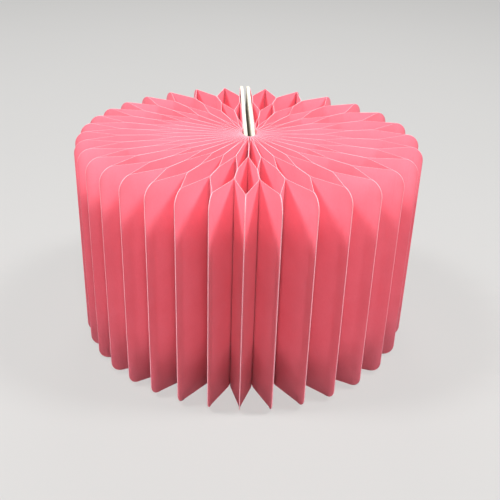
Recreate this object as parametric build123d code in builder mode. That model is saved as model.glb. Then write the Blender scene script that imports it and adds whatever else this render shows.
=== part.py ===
from build123d import *
import os
from math import cos, pi, radians, sin, sqrt

os.makedirs("parts", exist_ok=True)

# A honeycomb lantern of card, opened right round into a drum that stands on its lower edges.
# +Z is up. The two covers stand back to back on the +Y side; the widest view faces -Y.
# The origin is on the surface it stands on, under the middle of its outline.

# ---- driving sizes, in mm and degrees ----
drum_radius = 150.0
drum_height = 190.0
leaf_count = 32
sheet_thickness = 0.3
glue_line = 0.1

corner_radius = 12.0
bend_radius = 15.0
rim_seam_width = 11.0
outer_seam_start = 89.0
inner_seam_start = 41.0
seam_width = 22.0
core_seam_end = 20.0

# the leaves' inner ends wrap round the boards' ends; the wrap is their share of a leaf's direction
core_half_width = 6.8
core_depth = 13.0
core_wrap = 0.7

# the valleys beside the boards lie close to them: this share of the way to the next leaf, at the rim
end_valley_share = 0.12

board_thickness = 3.2
board_gap = 3.4
board_overhang = 9.0
board_inner_end = 8.8
board_corner_radius = 14.0

pad_size = 20.0
pad_corner_radius = 3.0
pad_clearance = 0.2
pad_from_board_end = 22.0

# the drum doesn't open evenly: these waves, in degrees, are added to an even spacing
first_leaf_angle = 171.5
opening_waves = (-16.8, 7.6, 1.7, 0.6, 0.8)

# ---- places that follow from the sizes ----
board_reach = drum_radius + board_overhang
spine_y = (drum_radius - board_reach) / 2
board_face = board_gap / 2 + board_thickness


def polar(radius, angle):
    """A point round the spine; the angle is counted from the front, positive to the right."""
    return Vector(radius * sin(radians(angle)), spine_y - radius * cos(radians(angle)))


def leaf_angle(number):
    """Direction of a leaf's rim: 1 is beside the left cover, leaf_count beside the right one."""
    share = (number - 1) / (leaf_count - 1)
    waves = sum(size * sin(turns * pi * share) for turns, size in enumerate(opening_waves, 1))
    return first_leaf_angle * (2 * share - 1) + waves


def ridge(number):
    """The straight line, seen from above, of one leaf's glued ridge: its inner and outer ends.

    Numbers 0 and leaf_count + 1 are the outer faces of the left and the right board.
    """
    if number in (0, leaf_count + 1):
        side = -1 if number == 0 else 1
        core_y = -core_depth * cos(radians(core_wrap * 180))
        rim_y = sqrt(drum_radius**2 - board_face**2)
        return (
            Vector(side * board_face, spine_y + core_y),
            Vector(side * board_face, spine_y + rim_y),
        )
    angle = leaf_angle(number)
    wrapped = radians(core_wrap * angle)
    core = Vector(core_half_width * sin(wrapped), spine_y - core_depth * cos(wrapped))
    return core, polar(drum_radius, angle)


def valley(number):
    """The line between leaf number and the next, where their sheets are glued: midway, or by a board."""
    (core_a, rim_a), (core_b, rim_b) = ridge(number), ridge(number + 1)
    share = {0: end_valley_share, leaf_count: 1 - end_valley_share}.get(number, 0.5)
    middle = rim_a * (1 - share) + rim_b * share - Vector(0, spine_y)
    rim = middle.normalized() * drum_radius + Vector(0, spine_y)
    return (core_a + core_b) * 0.5, rim


def along(line, radius, shift=0.0):
    """The point of a line that lies this far short of the rim's radius, moved to its left."""
    core, rim = line
    direction = (rim - core).normalized()
    left = Vector(-direction.Y, direction.X)
    return rim - direction * (drum_radius - radius) + left * shift


def sheet_points(number, side):
    """The bends of one sheet, on the face that is glued at its leaf's ridge.

    Side is 1 for the sheet towards the next leaf and -1 for the one towards the leaf before.
    """
    ridge_line = ridge(number)
    valley_line = valley(number if side == 1 else number - 1)
    setback = -side * (glue_line / 2 + sheet_thickness)
    off_ridge = side * glue_line / 2 if number in (0, leaf_count + 1) else 0.0
    core, rim = valley_line
    inner_end = drum_radius - (rim - core).length
    return [
        along(valley_line, inner_end, setback),
        along(valley_line, core_seam_end, setback),
        along(ridge_line, inner_seam_start, off_ridge),
        along(ridge_line, inner_seam_start + seam_width, off_ridge),
        along(valley_line, outer_seam_start, setback),
        along(valley_line, outer_seam_start + seam_width, setback),
        along(ridge_line, drum_radius - rim_seam_width, off_ridge),
        along(ridge_line, drum_radius, off_ridge),
    ]


def make_sheet(number, side):
    """One card sheet: a bent ribbon as tall as the drum, with its outer corners rounded."""
    core, rim = ridge(number)
    direction = (rim - core).normalized()
    outline_plane = Plane(origin=rim, x_dir=direction, z_dir=Vector(direction.Y, -direction.X, 0))
    with BuildPart() as sheet:
        with BuildSketch():
            with BuildLine():
                FilletPolyline(*sheet_points(number, side), radius=bend_radius)
                offset(amount=sheet_thickness, side=Side.LEFT if side == 1 else Side.RIGHT)
            make_face()
        extrude(amount=drum_height)
        with BuildSketch(outline_plane):
            with Locations((0, drum_height / 2)):
                Rectangle(2 * drum_radius, drum_height, align=(Align.MAX, Align.CENTER))
            fillet(vertices().sort_by(Axis.X)[-2:], corner_radius)
        extrude(amount=drum_radius / 3, both=True, mode=Mode.INTERSECT)
    return sheet.part


def make_board(side):
    """One stiff cover board, standing on edge beside the middle of the gap."""
    with BuildPart() as board:
        with BuildSketch(Plane.YZ.offset(side * board_gap / 2)):
            with Locations((spine_y - board_inner_end, 0)):
                Rectangle(board_inner_end + board_reach, drum_height, align=Align.MIN)
            fillet(vertices().sort_by(Axis.X)[-2:], board_corner_radius)
        extrude(amount=side * board_thickness)
    return board.part


def make_pad(side):
    """One half of the touch fastener that holds the covers back to back."""
    pad_y = spine_y + board_reach - pad_from_board_end
    with BuildPart() as pad:
        with BuildSketch(Plane.YZ.offset(side * pad_clearance / 2)):
            with Locations((pad_y, drum_height / 2)):
                RectangleRounded(pad_size, pad_size, pad_corner_radius)
        extrude(amount=side * (board_gap - pad_clearance) / 2)
    return pad.part


def keep(piece, name):
    """Labels a finished piece and writes it."""
    piece.label = name
    export_step(piece, f"parts/{name}.step")


keep(make_board(-1), "left_cover_board")
keep(make_board(1), "right_cover_board")
keep(make_pad(-1), "left_hook_pad")
keep(make_pad(1), "right_loop_pad")
keep(make_sheet(0, 1), "left_end_sheet")
keep(make_sheet(leaf_count + 1, -1), "right_end_sheet")

# each leaf is two sheets glued together along the ridge between them
for leaf_number in range(1, leaf_count + 1):
    leaf = Compound([make_sheet(leaf_number, -1), make_sheet(leaf_number, 1)])
    keep(leaf, f"leaf_{leaf_number:02d}")
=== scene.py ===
import math
import random

import bmesh
import bpy
from mathutils import Matrix, Vector


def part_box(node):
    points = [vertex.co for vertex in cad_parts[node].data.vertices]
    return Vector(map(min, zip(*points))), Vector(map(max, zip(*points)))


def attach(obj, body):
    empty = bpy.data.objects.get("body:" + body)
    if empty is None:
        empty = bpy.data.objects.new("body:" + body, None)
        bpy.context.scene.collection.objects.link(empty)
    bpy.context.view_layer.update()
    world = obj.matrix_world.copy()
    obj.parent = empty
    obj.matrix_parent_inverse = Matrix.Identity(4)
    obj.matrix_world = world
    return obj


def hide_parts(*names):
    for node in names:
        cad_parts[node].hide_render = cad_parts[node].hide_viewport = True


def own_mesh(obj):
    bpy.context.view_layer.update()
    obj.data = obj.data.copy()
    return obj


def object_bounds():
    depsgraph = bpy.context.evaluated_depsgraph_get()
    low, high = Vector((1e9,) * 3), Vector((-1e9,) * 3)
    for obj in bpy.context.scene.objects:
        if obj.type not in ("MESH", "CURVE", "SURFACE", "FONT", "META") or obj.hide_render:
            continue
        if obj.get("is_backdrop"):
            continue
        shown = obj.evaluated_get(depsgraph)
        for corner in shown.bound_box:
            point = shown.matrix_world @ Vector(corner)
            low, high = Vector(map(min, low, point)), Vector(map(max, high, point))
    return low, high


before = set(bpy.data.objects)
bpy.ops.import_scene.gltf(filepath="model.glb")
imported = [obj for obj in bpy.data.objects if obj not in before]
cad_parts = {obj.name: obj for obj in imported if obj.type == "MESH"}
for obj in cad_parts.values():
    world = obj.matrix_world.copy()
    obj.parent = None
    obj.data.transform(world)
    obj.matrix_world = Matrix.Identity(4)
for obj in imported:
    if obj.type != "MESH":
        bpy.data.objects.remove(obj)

cad_low, cad_high = (list(corner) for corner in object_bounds())

# ---- sizes, in metres and degrees; the same values shape the CAD model ----
MM = 0.001
DRUM_RADIUS = 150.0 * MM
DRUM_HEIGHT = cad_high[2]
LEAF_COUNT = 32
ROOT_LEAF = 18
SHEET = 0.3 * MM
GLUE_LINE = 0.1 * MM
CORNER_RADIUS = 12.0 * MM
BEND_RADIUS = 15.0 * MM
RIM_SEAM_WIDTH = 11.0 * MM
OUTER_SEAM_START = 89.0 * MM
INNER_SEAM_START = 41.0 * MM
SEAM_WIDTH = 22.0 * MM
CORE_SEAM_END = 20.0 * MM
CORE_HALF_WIDTH = 6.8 * MM
CORE_DEPTH = 13.0 * MM
CORE_WRAP = 0.7
END_VALLEY_SHARE = 0.12
FIRST_LEAF_ANGLE = 171.5
OPENING_WAVES = (-16.8, 7.6, 1.7, 0.6, 0.8)

BOARD_INNER_END = 8.8 * MM
BOARD_CORNER_RADIUS = 14.0 * MM
left_board_low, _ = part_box("left_cover_board")
BOARD_FACE = -left_board_low[0]
SPINE_Y = left_board_low[1] + BOARD_INNER_END

# ---- camera: where the drum is seen from ----
CAMERA_TURN = -2.8
CAMERA_PITCH = 27.48
CAMERA_ROLL = 1.93
CAMERA_DISTANCE = 4.708 * DRUM_RADIUS
CAMERA_TARGET = Vector((0.0271, 0.0, 0.4916)) * DRUM_RADIUS
FOCAL_SHARE = 1.4988
SENSOR = 36.0

# ---- how a sheet is split ----
# its flat stretches are numbered from 0 at the core, and these two are the strips glued at the ridge
INNER_STRIP = 2
RIM_LIP = 6
# a glued strip's first and last columns are numbered this far before and after it
STRIP_END = 0.4
SPLIT_INSET = 0.6 * MM

# ---- how finely the meshes are divided ----
HEIGHT_ROWS = 4
ARC_STEPS = 6
CORNER_STEPS = 10
WALL_STEPS = 4
BOARD_BEVEL = 0.45 * MM
PAD_STEPS = 20
THREAD_ROWS = 13
LOOP_STEPS = 6

# ---- touch fastener ----
# the base's share of the pad's thickness, and the border's and the threads' feet's shares of the base
PAD_BASE_SHARE = 0.4
PAD_BORDER_SHARE = 0.7
FOOT_SHARE = 0.9
THREAD_CLEARANCE = 0.1 * MM
WEAVE_HEIGHT = 0.05 * MM
WEAVE_TURNS = (2.1, 1.7)
# where a hook bends, as shares of its height and of its sideways reach
HOOK_BENDS = ((0, 0), (0.55, 0), (0.85, 0.25), (1.0, 0.65), (0.9, 1.0), (0.7, 1.1))
HOOK_REACH = 0.45 * MM
HOOK_THREAD = 0.1 * MM
LOOP_THREAD = 0.06 * MM

# ---- floor and surround: as they are seen, and as bounced light meets them ----
FLOOR_HALF_SIZE = 6
FLOOR_SEEN = (0.160, 0.158, 0.155)
FLOOR_CLOUD = 1.03
FLOOR_GLOW = 0.5
FLOOR_GLOW_COLOUR = (1.0, 0.99, 0.975, 1)
FLOOR_BOUNCED = (0.600, 0.588, 0.576)
WORLD_COLOUR = (0.95, 0.97, 1.0, 1)
WORLD_SEEN = 0.58
WORLD_BOUNCED = 0.04

# ---- lamps: name, place and width in metres, power in watts ----
LAMPS = (
    ("left_softbox", (-1.0, -0.2, 1.75), 0.4, 24),
    ("right_softbox", (1.0, -0.2, 1.75), 0.4, 24),
    ("front_softbox", (0, -1.1, 1.75), 0.4, 18.5),
    ("back_softbox", (0, 1.5, 1.4), 0.8, 9),
    ("front_fill", (0, -2.2, 0.6), 1.2, 4),
)
random.seed(7)


# ---------------------------------------------------------------- leaf outlines
def polar(radius, angle):
    """A point at a radius from the spine, at an angle in degrees from straight ahead."""
    turn = math.radians(angle)
    return Vector((radius * math.sin(turn), SPINE_Y - radius * math.cos(turn)))


def leaf_angle(number):
    """A leaf's direction: evenly spaced, plus a few slow waves that follow the photo's uneven opening."""
    share = (number - 1) / (LEAF_COUNT - 1)
    waves = sum(size * math.sin(turns * math.pi * share) for turns, size in enumerate(OPENING_WAVES, 1))
    return FIRST_LEAF_ANGLE * (2 * share - 1) + waves


def ridge(number):
    """The inner and outer end of a leaf's ridge, seen from above; 0 and LEAF_COUNT + 1 are the boards."""
    if number in (0, LEAF_COUNT + 1):
        side = -1 if number == 0 else 1
        core_y = -CORE_DEPTH * math.cos(math.radians(CORE_WRAP * 180))
        rim_y = math.sqrt(DRUM_RADIUS**2 - BOARD_FACE**2)
        return Vector((side * BOARD_FACE, SPINE_Y + core_y)), Vector((side * BOARD_FACE, SPINE_Y + rim_y))
    angle = leaf_angle(number)
    wrapped = math.radians(CORE_WRAP * angle)
    core = Vector((CORE_HALF_WIDTH * math.sin(wrapped), SPINE_Y - CORE_DEPTH * math.cos(wrapped)))
    return core, polar(DRUM_RADIUS, angle)


def valley(number):
    """Where the sheets of this leaf and the next are glued: midway, or close by a board."""
    (core_a, rim_a), (core_b, rim_b) = ridge(number), ridge(number + 1)
    share = {0: END_VALLEY_SHARE, LEAF_COUNT: 1 - END_VALLEY_SHARE}.get(number, 0.5)
    spine = Vector((0.0, SPINE_Y))
    rim = (rim_a.lerp(rim_b, share) - spine).normalized() * DRUM_RADIUS + spine
    return (core_a + core_b) * 0.5, rim


def along(line, radius, shift=0.0):
    """A point on a line from core to rim, by its radius and its shift to the left."""
    core, rim = line
    direction = (rim - core).normalized()
    left = Vector((-direction.y, direction.x))
    return rim - direction * (DRUM_RADIUS - radius) + left * shift


def sheet_corners(number, side):
    """The bends of one sheet, on the face that is glued at its ridge."""
    on_board = number in (0, LEAF_COUNT + 1)
    ridge_line = ridge(number)
    valley_line = valley(number if side == 1 else number - 1)
    setback = -side * (GLUE_LINE / 2 + SHEET)
    off_ridge = side * GLUE_LINE / 2 if on_board else 0.0
    core, rim = valley_line
    inner_end = DRUM_RADIUS - (rim - core).length
    return [
        along(valley_line, inner_end, setback),
        along(valley_line, CORE_SEAM_END, setback),
        along(ridge_line, INNER_SEAM_START, off_ridge),
        along(ridge_line, INNER_SEAM_START + SEAM_WIDTH, off_ridge),
        along(valley_line, OUTER_SEAM_START, setback),
        along(valley_line, OUTER_SEAM_START + SEAM_WIDTH, setback),
        along(ridge_line, DRUM_RADIUS - RIM_SEAM_WIDTH, off_ridge),
        along(ridge_line, DRUM_RADIUS, off_ridge),
    ]


def softened(corners):
    """The path through the corners with each bend as an arc, as (point, left normal, segment)."""
    path = []
    last = len(corners) - 1
    start = corners[0]
    for index in range(1, last):
        here = corners[index]
        before = (here - corners[index - 1]).normalized()
        after = (corners[index + 1] - here).normalized()
        turn = math.atan2(before.x * after.y - before.y * after.x, before.dot(after))
        cut = BEND_RADIUS * math.tan(abs(turn) / 2)
        entry = here - before * cut
        add_straight(path, start, entry, before, index - 1)
        left = Vector((-before.y, before.x)) * math.copysign(1, turn)
        centre = entry + left * BEND_RADIUS
        for step in range(1, ARC_STEPS):
            swept = turn * step / ARC_STEPS
            spoke = Matrix.Rotation(swept, 2) @ (entry - centre)
            heading = Matrix.Rotation(swept, 2) @ before
            path.append((centre + spoke, Vector((-heading.y, heading.x)), index - 0.5))
        start = here + after * cut
    ahead = (corners[last] - corners[last - 1]).normalized()
    add_lip(path, start, corners[last], ahead, last - 1)
    return path


def add_straight(path, start, end, heading, segment):
    """Points along one flat stretch; the ends of a strip glued at a ridge also get a point just inside."""
    left = Vector((-heading.y, heading.x))
    inner = SPLIT_INSET / (end - start).length
    path.append((start, left, segment - STRIP_END if segment == INNER_STRIP else segment))
    for step in range(WALL_STEPS + 1):
        share = inner + (1 - 2 * inner) * step / WALL_STEPS
        path.append((start.lerp(end, share), left, segment))
    path.append((end, left, segment + STRIP_END if segment == INNER_STRIP else segment))


def add_lip(path, start, rim, heading, segment):
    """The strip at the rim, with points spaced for its rounded die-cut corner."""
    left = Vector((-heading.y, heading.x))
    path.append((start, left, segment - STRIP_END))
    flat = (rim - start).length - SPLIT_INSET
    first_turn = math.asin(max(0.0, 1 - flat / CORNER_RADIUS))
    for step in range(CORNER_STEPS + 1):
        turn = first_turn + (math.pi / 2 - first_turn) * step / CORNER_STEPS
        path.append((rim - heading * CORNER_RADIUS * (1 - math.sin(turn)), left, segment))


# ---------------------------------------------------------------- materials
def node_material(name, roughness, specular):
    """A new material with its node tree, its Principled shader and object coordinates."""
    material = bpy.data.materials.new(name)
    material.use_nodes = True
    tree = material.node_tree
    shader = tree.nodes["Principled BSDF"]
    shader.inputs["Roughness"].default_value = roughness
    shader.inputs["Specular IOR Level"].default_value = specular
    places = tree.nodes.new("ShaderNodeTexCoord").outputs["Object"]
    return material, tree, shader, places


def noise(tree, places, scale, detail, rough=0.55, stretch=None):
    """A noise texture's value; stretch scales the coordinates along each axis."""
    if stretch:
        mapping = tree.nodes.new("ShaderNodeMapping")
        mapping.inputs["Scale"].default_value = stretch
        tree.links.new(places, mapping.inputs["Vector"])
        places = mapping.outputs["Vector"]
    texture = tree.nodes.new("ShaderNodeTexNoise")
    texture.inputs["Scale"].default_value = scale
    texture.inputs["Detail"].default_value = detail
    texture.inputs["Roughness"].default_value = rough
    tree.links.new(places, texture.inputs["Vector"])
    return texture.outputs["Fac"]


def ramp(tree, value, low, high, low_colour, high_colour):
    """A colour that goes from one to the other as value goes from low to high."""
    stops = tree.nodes.new("ShaderNodeValToRGB")
    first, second = stops.color_ramp.elements
    first.position, first.color = low, (*low_colour, 1)
    second.position, second.color = high, (*high_colour, 1)
    tree.links.new(value, stops.inputs["Fac"])
    return stops.outputs["Color"]


def tinted(tree, base, tint):
    """A colour multiplied by another."""
    mix = tree.nodes.new("ShaderNodeMix")
    mix.data_type = "RGBA"
    mix.blend_type = "MULTIPLY"
    mix.inputs["Factor"].default_value = 1.0
    tree.links.new(base, mix.inputs["A"])
    tree.links.new(tint, mix.inputs["B"])
    return mix.outputs["Result"]


def bumped(tree, shader, value, depth, strength):
    """Bump of a depth in metres, from a texture's value."""
    bump = tree.nodes.new("ShaderNodeBump")
    bump.inputs["Distance"].default_value = depth
    bump.inputs["Strength"].default_value = strength
    tree.links.new(value, bump.inputs["Height"])
    tree.links.new(bump.outputs["Normal"], shader.inputs["Normal"])


def linear(red, green, blue):
    """A colour written as 0 to 255 screen values, as the shader's own linear numbers."""
    shares = (red / 255, green / 255, blue / 255)
    return tuple(c / 12.92 if c <= 0.04045 else ((c + 0.055) / 1.055) ** 2.4 for c in shares)


def card_material():
    """Matt dyed card: fibre grain, faint cloudiness in the dye, slightly uneven roughness."""
    material, tree, shader, places = node_material("pink_card", roughness=0.8, specular=0.2)
    shader.inputs["Sheen Weight"].default_value = 0.12
    shader.inputs["Sheen Roughness"].default_value = 0.5
    shader.inputs["Sheen Tint"].default_value = (1.0, 0.82, 0.88, 1)
    cloud = noise(tree, places, scale=22, detail=3)
    colour = ramp(tree, cloud, 0.3, 0.7, linear(238, 115, 131), linear(243, 126, 142))
    fibre = noise(tree, places, scale=900, detail=3, rough=0.6, stretch=(1, 1, 0.45))
    grain = ramp(tree, fibre, 0.25, 0.75, (0.97, 0.91, 0.92), (1.0, 1.0, 1.0))
    tree.links.new(tinted(tree, colour, grain), shader.inputs["Base Color"])
    rough = tree.nodes.new("ShaderNodeMapRange")
    rough.inputs["To Min"].default_value = 0.72
    rough.inputs["To Max"].default_value = 0.92
    tree.links.new(fibre, rough.inputs["Value"])
    tree.links.new(rough.outputs["Result"], shader.inputs["Roughness"])
    bumped(tree, shader, fibre, depth=0.06 * MM, strength=0.5)
    return material


def card_edge_material():
    """The card's cut edge, where the paler core of the sheet shows."""
    material, tree, shader, places = node_material("card_cut_edge", roughness=0.8, specular=0.2)
    fibre = noise(tree, places, scale=1500, detail=2)
    colour = ramp(tree, fibre, 0.3, 0.7, linear(243, 168, 180), linear(251, 196, 205))
    tree.links.new(colour, shader.inputs["Base Color"])
    bumped(tree, shader, fibre, depth=0.04 * MM, strength=0.4)
    return material


def board_face_material():
    """Paper-lined board: warm white, with sparse fibres and a soft mottle."""
    material, tree, shader, places = node_material("board_lining", roughness=0.68, specular=0.3)
    mottle = noise(tree, places, scale=60, detail=4)
    colour = ramp(tree, mottle, 0.3, 0.7, linear(232, 226, 212), linear(241, 237, 226))
    fibre = noise(tree, places, scale=420, detail=5, rough=0.7, stretch=(1, 1, 0.25))
    flecks = ramp(tree, fibre, 0.28, 0.42, (0.86, 0.83, 0.78), (1.0, 1.0, 1.0))
    tree.links.new(tinted(tree, colour, flecks), shader.inputs["Base Color"])
    bumped(tree, shader, fibre, depth=0.08 * MM, strength=0.5)
    return material


def board_edge_material():
    """The board's edge: cream, in thin pressed layers."""
    material, tree, shader, places = node_material("board_edge", roughness=0.85, specular=0.2)
    layers = noise(tree, places, scale=60, detail=4, rough=0.6, stretch=(60, 1, 1))
    colour = ramp(tree, layers, 0.35, 0.65, linear(222, 212, 190), linear(244, 238, 222))
    tree.links.new(colour, shader.inputs["Base Color"])
    bumped(tree, shader, layers, depth=0.1 * MM, strength=0.5)
    return material


def fastener_material():
    """Off-white nylon touch fastener: slight sheen, fine thread texture."""
    material, tree, shader, places = node_material("touch_fastener", roughness=0.5, specular=0.5)
    shader.inputs["Sheen Weight"].default_value = 0.3
    threads = noise(tree, places, scale=1400, detail=3, rough=0.6, stretch=(1, 2.2, 0.7))
    colour = ramp(tree, threads, 0.3, 0.7, linear(218, 214, 206), linear(240, 238, 232))
    tree.links.new(colour, shader.inputs["Base Color"])
    bumped(tree, shader, threads, depth=0.1 * MM, strength=0.6)
    return material


def shown_rays(tree):
    """1 for the rays that show a thing (camera, glossy, transmission), 0 for the light it bounces."""
    path = tree.nodes.new("ShaderNodeLightPath")
    total = path.outputs["Is Camera Ray"]
    for kind in ("Is Glossy Ray", "Is Transmission Ray"):
        adding = tree.nodes.new("ShaderNodeMath")
        adding.operation = "ADD"
        adding.use_clamp = True
        tree.links.new(total, adding.inputs[0])
        tree.links.new(path.outputs[kind], adding.inputs[1])
        total = adding.outputs["Value"]
    return total


def floor_material():
    """A pale matt floor: an even glow where it is seen, and plain matt grey to the light it bounces."""
    material, tree, shader, places = node_material("pale_floor", roughness=0.9, specular=0.0)
    cloud = noise(tree, places, scale=3, detail=3)
    pale = ramp(tree, cloud, 0.3, 0.7, FLOOR_SEEN, tuple(c * FLOOR_CLOUD for c in FLOOR_SEEN))
    seen = shown_rays(tree)
    mix = tree.nodes.new("ShaderNodeMix")
    mix.data_type = "RGBA"
    mix.inputs["A"].default_value = (*FLOOR_BOUNCED, 1)
    tree.links.new(pale, mix.inputs["B"])
    tree.links.new(seen, mix.inputs["Factor"])
    tree.links.new(mix.outputs["Result"], shader.inputs["Base Color"])
    glow = tree.nodes.new("ShaderNodeMath")
    glow.operation = "MULTIPLY"
    glow.inputs[1].default_value = FLOOR_GLOW
    tree.links.new(seen, glow.inputs[0])
    tree.links.new(glow.outputs["Value"], shader.inputs["Emission Strength"])
    shader.inputs["Emission Color"].default_value = FLOOR_GLOW_COLOUR
    return material


# ---------------------------------------------------------------- meshes
def finish_mesh(mesh, name, materials):
    """Makes the object of a finished bmesh."""
    data = bpy.data.meshes.new(name)
    mesh.to_mesh(data)
    mesh.free()
    for material in materials:
        data.materials.append(material)
    piece = bpy.data.objects.new(name, data)
    bpy.context.scene.collection.objects.link(piece)
    return piece


def corner_inset(depth):
    """How far the die-cut top and bottom edges are pulled in, at a depth in from the rim."""
    if depth >= CORNER_RADIUS:
        return 0.0
    return CORNER_RADIUS - math.sqrt(max(0.0, CORNER_RADIUS**2 - (CORNER_RADIUS - depth) ** 2))


def add_quad(mesh, a, b, c, d, side, material):
    """A quad, turned round for side -1; only the sheet's faces, material 0, are smooth."""
    corners = (a, b, c, d) if side == 1 else (d, c, b, a)
    face = mesh.faces.new(corners)
    face.material_index = material
    face.smooth = material == 0


def add_sheet_run(mesh, columns, side, line, closed_start, closed_end):
    """A run of one sheet, from its path columns: two faces and the cut edges."""
    core, rim = line
    direction = (rim - core).normalized()
    rings = []
    for point, left in columns:
        inset = corner_inset((rim - point).dot(direction))
        outer = point + left * side * SHEET
        ring = []
        for row in range(HEIGHT_ROWS + 1):
            height = inset + (DRUM_HEIGHT - 2 * inset) * row / HEIGHT_ROWS
            ring.append((mesh.verts.new((*point, height)), mesh.verts.new((*outer, height))))
        rings.append(ring)
    for first, second in zip(rings, rings[1:]):
        for row in range(HEIGHT_ROWS):
            add_quad(mesh, first[row][0], second[row][0], second[row + 1][0], first[row + 1][0], side, 0)
            add_quad(mesh, second[row][1], first[row][1], first[row + 1][1], second[row + 1][1], side, 0)
        add_quad(mesh, first[0][1], second[0][1], second[0][0], first[0][0], side, 1)
        add_quad(mesh, first[-1][0], second[-1][0], second[-1][1], first[-1][1], side, 1)
    for row in range(HEIGHT_ROWS):
        if closed_start:
            start = rings[0]
            add_quad(mesh, start[row][1], start[row][0], start[row + 1][0], start[row + 1][1], side, 1)
        if closed_end:
            end = rings[-1]
            add_quad(mesh, end[row][0], end[row][1], end[row + 1][1], end[row + 1][0], side, 1)


def card_piece(name, body, node, parts, part_of_sheet):
    """One piece of card from (leaf number, side) sheets: their glued strips, or their free walls."""
    strips = ((INNER_STRIP, INNER_STRIP), (RIM_LIP, RIM_LIP))
    walls = ((0, INNER_STRIP - STRIP_END), (INNER_STRIP + STRIP_END, RIM_LIP - STRIP_END))
    mesh = bmesh.new()
    for number, side in parts:
        path = softened(sheet_corners(number, side))
        for first, last in strips if part_of_sheet == "strips" else walls:
            run = path_between(path, first, last)
            add_sheet_run(mesh, run, side, ridge(number), first == 0, last == RIM_LIP)
    piece = finish_mesh(mesh, name, [card, card_edge])
    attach(piece, body)
    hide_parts(node)
    return piece


def path_between(path, first, last):
    """The columns of a path in a run of segments, with the strip's first or last one so that runs meet."""
    inside = [index for index, (point, left, segment) in enumerate(path) if first <= segment <= last]
    start = inside[0] - 1 if first == INNER_STRIP + STRIP_END else inside[0]
    end = inside[-1] + 1 if last in (INNER_STRIP - STRIP_END, RIM_LIP - STRIP_END) else inside[-1]
    return [(point, left) for point, left, segment in path[start : end + 1]]


def flatten(piece):
    """Gives a walls piece its own copy of its mesh data."""
    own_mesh(piece)


def build_leaf(number):
    """A leaf's two sheets; the root leaf's walls are made as a separate piece for each side."""
    node = f"leaf_{number:02d}"
    both = [(number, -1), (number, 1)]
    card_piece(f"{node}_strips", node, node, both, "strips")
    if number == ROOT_LEAF:
        for side, name in ((-1, "left"), (1, "right")):
            walls = card_piece(f"{node}_{name}_walls", node, node, [(number, side)], "walls")
            flatten(walls)
        return
    walls = card_piece(f"{node}_walls", node, node, both, "walls")
    flatten(walls)


def build_end_sheet(name, number, side):
    """The single sheet that is glued to a board."""
    node = f"{name}_end_sheet"
    body = f"{name}_cover"
    card_piece(f"{node}_strips", body, node, [(number, side)], "strips")
    walls = card_piece(f"{node}_walls", body, node, [(number, side)], "walls")
    flatten(walls)


def build_board(name):
    """A cover board: its CAD outline with softened edges, lined faces and layered edges."""
    node = f"{name}_cover_board"
    low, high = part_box(node)
    mesh = bmesh.new()
    outline = [(low.y, low.z), (low.y, high.z)]
    for centre_z, start in ((high.z - BOARD_CORNER_RADIUS, 90), (low.z + BOARD_CORNER_RADIUS, 0)):
        for step in range(CORNER_STEPS + 1):
            turn = math.radians(start - 90 * step / CORNER_STEPS)
            y = high.y - BOARD_CORNER_RADIUS + BOARD_CORNER_RADIUS * math.cos(turn)
            outline.append((y, centre_z + BOARD_CORNER_RADIUS * math.sin(turn)))
    near = [mesh.verts.new((low.x, y, z)) for y, z in outline]
    far = [mesh.verts.new((high.x, y, z)) for y, z in outline]
    faces = [mesh.faces.new(near), mesh.faces.new(reversed(far))]
    for index in range(len(outline)):
        after = (index + 1) % len(outline)
        side = mesh.faces.new((near[after], near[index], far[index], far[after]))
        side.material_index = 1
        side.smooth = True
    bmesh.ops.recalc_face_normals(mesh, faces=mesh.faces)
    rims = {edge for face in faces for edge in face.edges}
    bmesh.ops.bevel(mesh, geom=list(rims), offset=BOARD_BEVEL, segments=3, profile=0.5, affect="EDGES")
    piece = finish_mesh(mesh, f"{name}_cover", [board_face, board_edge])
    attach(piece, f"{name}_cover")
    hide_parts(node)


def add_tube(mesh, points, radius):
    """A four-sided thread along points."""
    rings = []
    for index, point in enumerate(points):
        ahead = (points[min(index + 1, len(points) - 1)] - points[max(index - 1, 0)]).normalized()
        across = ahead.orthogonal().normalized()
        up = ahead.cross(across)
        spokes = (across, up, -across, -up)
        rings.append([mesh.verts.new(point + spoke * radius) for spoke in spokes])
    for first, second in zip(rings, rings[1:]):
        for index in range(4):
            after = (index + 1) % 4
            mesh.faces.new((first[index], first[after], second[after], second[index])).smooth = True
    mesh.faces.new(reversed(rings[0]))
    mesh.faces.new(rings[-1])


def build_pad(name, node, hooked):
    """A touch-fastener square: a woven base with rows of hooks, or with a field of soft loops."""
    low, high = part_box(node)
    side = 1 if name == "left" else -1
    face_x = low.x if side == 1 else high.x
    thickness = high.x - low.x
    base = thickness * PAD_BASE_SHARE
    reach = side * (thickness - base - THREAD_CLEARANCE)
    mesh = bmesh.new()
    add_pad_base(mesh, low, high, face_x, side * base)
    for row in range(THREAD_ROWS):
        for column in range(THREAD_ROWS):
            y = low.y + (high.y - low.y) * (column + 0.5) / THREAD_ROWS
            z = low.z + (high.z - low.z) * (row + 0.5) / THREAD_ROWS
            foot = Vector((face_x + side * base * FOOT_SHARE, y, z))
            if hooked:
                add_tube(mesh, hook_points(foot, reach, row), HOOK_THREAD)
            else:
                add_tube(mesh, loop_points(foot, reach), LOOP_THREAD)
    keep_inside(mesh, low, high)
    piece = finish_mesh(mesh, f"{name}_{'hook' if hooked else 'loop'}_square", [fastener])
    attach(piece, f"{name}_cover")
    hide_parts(node)


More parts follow.
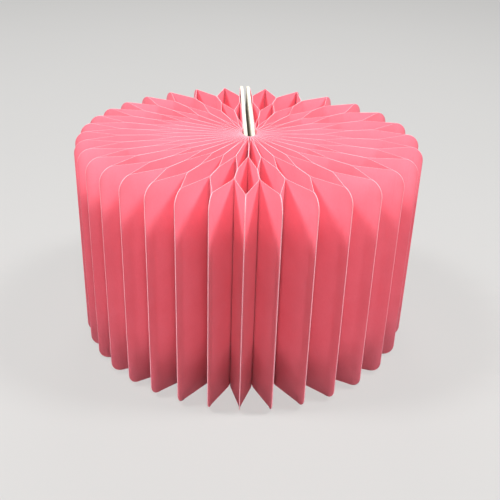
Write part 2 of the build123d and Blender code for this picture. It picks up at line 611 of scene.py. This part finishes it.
def add_pad_base(mesh, low, high, face_x, base):
    """The woven base, a closed slab that is lower at its border; base is its thickness with its direction."""
    rows = []
    for row in range(PAD_STEPS + 1):
        line = []
        for column in range(PAD_STEPS + 1):
            y = low.y + (high.y - low.y) * column / PAD_STEPS
            z = low.z + (high.z - low.z) * row / PAD_STEPS
            on_border = 0 in (column, row, PAD_STEPS - column, PAD_STEPS - row)
            waves = math.sin(column * WEAVE_TURNS[0]) * math.sin(row * WEAVE_TURNS[1])
            lift = base * (PAD_BORDER_SHARE if on_border else 1.0)
            lift += math.copysign(WEAVE_HEIGHT, base) * waves
            line.append((mesh.verts.new((face_x, y, z)), mesh.verts.new((face_x + lift, y, z))))
        rows.append(line)
    for row in range(PAD_STEPS):
        for column in range(PAD_STEPS):
            a, b = rows[row][column], rows[row][column + 1]
            c, d = rows[row + 1][column + 1], rows[row + 1][column]
            mesh.faces.new((a[1], b[1], c[1], d[1]))
            mesh.faces.new((d[0], c[0], b[0], a[0]))
    border = [rows[0][i] for i in range(PAD_STEPS)]
    border += [rows[i][PAD_STEPS] for i in range(PAD_STEPS)]
    border += [rows[PAD_STEPS][PAD_STEPS - i] for i in range(PAD_STEPS)]
    border += [rows[PAD_STEPS - i][0] for i in range(PAD_STEPS)]
    for index, pair in enumerate(border):
        after = border[(index + 1) % len(border)]
        mesh.faces.new((pair[0], after[0], after[1], pair[1]))
    bmesh.ops.recalc_face_normals(mesh, faces=mesh.faces)


def hook_points(foot, reach, row):
    """A hook that leans up or down by turns, row by row."""
    bend = HOOK_REACH * (1 if row % 2 else -1)
    return [foot + Vector((reach * height, 0, bend * aside)) for height, aside in HOOK_BENDS]


def loop_points(foot, reach):
    """A soft loop of random direction, width and height."""
    turn = random.uniform(0, math.pi)
    width = random.uniform(0.5, 0.8) * MM
    tall = reach * random.uniform(0.6, 0.95)
    points = []
    for step in range(LOOP_STEPS + 1):
        swing = math.pi * step / LOOP_STEPS
        slide = -math.cos(swing) * width
        rise = tall * math.sin(swing)
        points.append(foot + Vector((rise, slide * math.cos(turn), slide * math.sin(turn))))
    return points


def keep_inside(mesh, low, high):
    """Pulls stray threads back inside the piece's own box."""
    for vertex in mesh.verts:
        for axis in range(3):
            vertex.co[axis] = min(max(vertex.co[axis], low[axis]), high[axis])


# ---------------------------------------------------------------- stage
def build_floor():
    """The floor, wide enough to fill the frame from above."""
    mesh = bmesh.new()
    bmesh.ops.create_grid(mesh, x_segments=8, y_segments=8, size=FLOOR_HALF_SIZE)
    floor = finish_mesh(mesh, "floor", [floor_material()])
    floor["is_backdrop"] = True


def build_camera():
    """The camera looks down at the drum, from in front and a little to its left."""
    pitch = math.radians(CAMERA_PITCH)
    roll = math.radians(CAMERA_ROLL)
    ahead = Vector((0, math.cos(pitch), -math.sin(pitch)))
    level = Vector((1, 0, 0))
    upward = Vector((0, math.sin(pitch), math.cos(pitch)))
    right = level * math.cos(roll) + upward * math.sin(roll)
    top = upward * math.cos(roll) - level * math.sin(roll)
    place = CAMERA_TARGET - ahead * CAMERA_DISTANCE
    pose = Matrix((right, top, -ahead)).transposed().to_4x4()
    pose.translation = place
    around = Matrix.Translation((0, SPINE_Y, 0)) @ Matrix.Rotation(math.radians(CAMERA_TURN), 4, "Z")
    data = bpy.data.cameras.new("camera")
    data.sensor_width = SENSOR
    data.lens = SENSOR * FOCAL_SHARE
    camera = bpy.data.objects.new("camera", data)
    bpy.context.scene.collection.objects.link(camera)
    camera.matrix_world = around @ pose
    bpy.context.scene.camera = camera


def build_lamp(name, place, size, power):
    """A round area lamp that points at the middle of the floor."""
    data = bpy.data.lights.new(name, "AREA")
    data.shape = "DISK"
    data.size = size
    data.energy = power
    lamp = bpy.data.objects.new(name, data)
    bpy.context.scene.collection.objects.link(lamp)
    lamp.location = place
    lamp.rotation_mode = "QUATERNION"
    lamp.rotation_quaternion = (-Vector(place)).to_track_quat("-Z", "Y")


def build_light():
    """The lamps, and a surround that looks pale but lights the object only a little."""
    for name, place, size, power in LAMPS:
        build_lamp(name, place, size, power)
    world = bpy.data.worlds.new("studio")
    world.use_nodes = True
    tree = world.node_tree
    background = tree.nodes["Background"]
    background.inputs["Color"].default_value = WORLD_COLOUR
    strength = tree.nodes.new("ShaderNodeMapRange")
    strength.inputs["To Min"].default_value = WORLD_BOUNCED
    strength.inputs["To Max"].default_value = WORLD_SEEN
    tree.links.new(shown_rays(tree), strength.inputs["Value"])
    tree.links.new(strength.outputs["Result"], background.inputs["Strength"])
    bpy.context.scene.world = world


card = card_material()
card_edge = card_edge_material()
board_face = board_face_material()
board_edge = board_edge_material()
fastener = fastener_material()

for leaf_number in range(1, LEAF_COUNT + 1):
    build_leaf(leaf_number)
build_end_sheet("left", 0, 1)
build_end_sheet("right", LEAF_COUNT + 1, -1)
build_board("left")
build_board("right")
build_pad("left", "left_hook_pad", True)
build_pad("right", "right_loop_pad", False)
build_floor()
build_camera()
build_light()
bpy.context.scene.view_settings.view_transform = "Standard"

bpy.context.view_layer.update()
